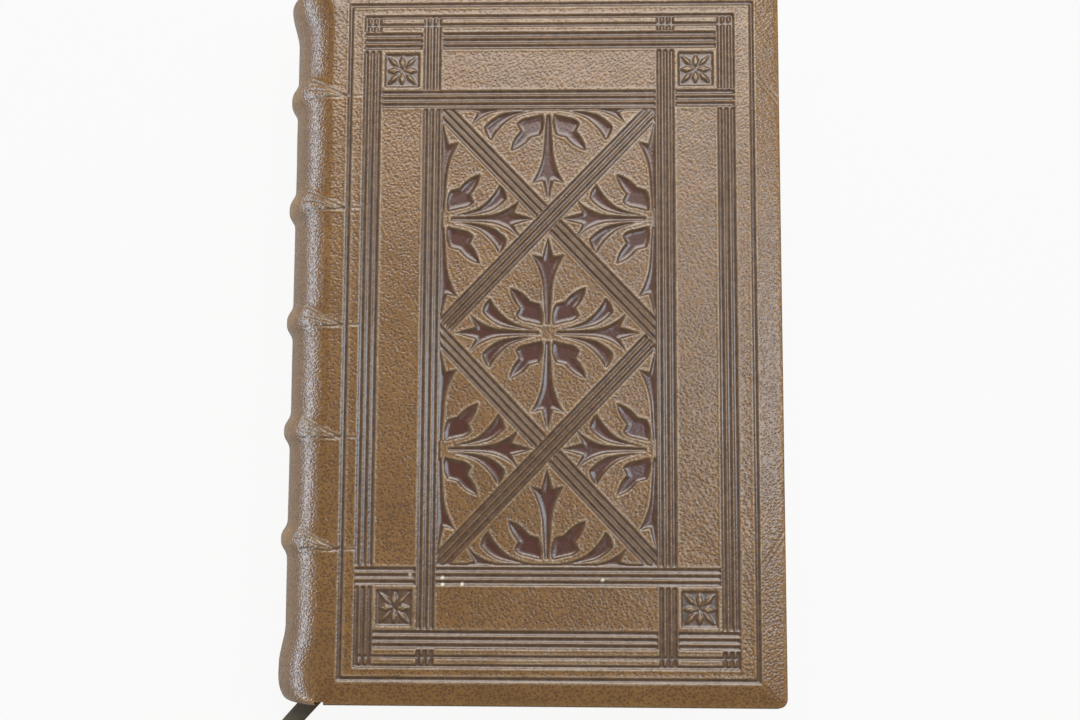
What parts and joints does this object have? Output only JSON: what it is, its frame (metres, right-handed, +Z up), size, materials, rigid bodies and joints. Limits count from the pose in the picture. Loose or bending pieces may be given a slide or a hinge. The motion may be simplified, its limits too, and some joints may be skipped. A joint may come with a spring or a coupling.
{
  "type": "antique leather book",
  "caption": "Closed antique book in blind-tooled brown leather with raised bands, bevelled boards and a ribbon marker; both covers open on their joints.",
  "frame": {"origin": "middle of the underside of the closed book, on the surface that it lies on", "axes": "+Z up through the front cover, -X towards the spine, +X towards the fore edge, +Y towards the head"},
  "size_m": [0.1517, 0.2194, 0.038],
  "materials": {
    "leather": "grained goatskin, waxed",
    "board": "matt",
    "card": "matt",
    "pages": "aged, matt",
    "endpaper": "matt",
    "linen_cord": "twisted linen",
    "silk": "sewn silk",
    "ribbon": "worn silk"
  },
  "bodies": {
    "book_block": {"text_block": "pages", "spine_lining": "card", "head_band": "silk", "tail_band": "silk", "spine_leather": "leather", "front_free_endpaper": "endpaper", "back_free_endpaper": "endpaper", "ribbon_marker": "ribbon", "sewing_cord_1": "linen_cord", "sewing_cord_2": "linen_cord", "sewing_cord_3": "linen_cord", "sewing_cord_4": "linen_cord", "sewing_cord_5": "linen_cord"},
    "front_cover": {"front_board": "board", "front_leather": "leather", "front_pastedown": "endpaper", "front_lacing_slips": "linen_cord"},
    "back_cover": {"back_board": "board", "back_leather": "leather", "back_pastedown": "endpaper", "back_lacing_slips": "linen_cord"}
  },
  "joints": [
    {"name": "front_joint", "type": "hinge", "parent": "book_block", "child": "front_cover", "pos_m": [-0.0523, 0, 0.038], "axis": [0, -1, 0], "range_deg": [0, 180]},
    {"name": "back_joint", "type": "hinge", "parent": "book_block", "child": "back_cover", "pos_m": [-0.0523, 0, 0], "axis": [0, 1, 0], "range_deg": [0, 180]}
  ]
}
